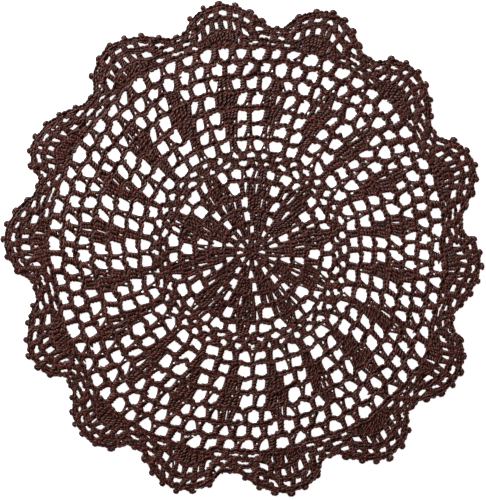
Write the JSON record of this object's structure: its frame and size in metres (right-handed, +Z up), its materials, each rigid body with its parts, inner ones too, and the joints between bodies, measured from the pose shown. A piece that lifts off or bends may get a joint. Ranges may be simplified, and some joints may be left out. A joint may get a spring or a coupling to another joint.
{
  "type": "crochet lace placemat",
  "caption": "Round openwork crochet lace mat with a petalled centre, a ring of leaf motifs in square mesh, and a scalloped picot edge; laid flat under a plate.",
  "frame": {"origin": "centre of the first crochet round, on the underside of the mat", "axes": "+Z up out of the right side of the mat, +Y towards the top of the reference view, +X to its right"},
  "size_m": [0.3481, 0.3594, 0.003],
  "materials": {
    "brown_cotton": "matt plied cotton yarn"
  },
  "bodies": {
    "root": {"lace_mat": "brown_cotton"}
  },
  "joints": []
}
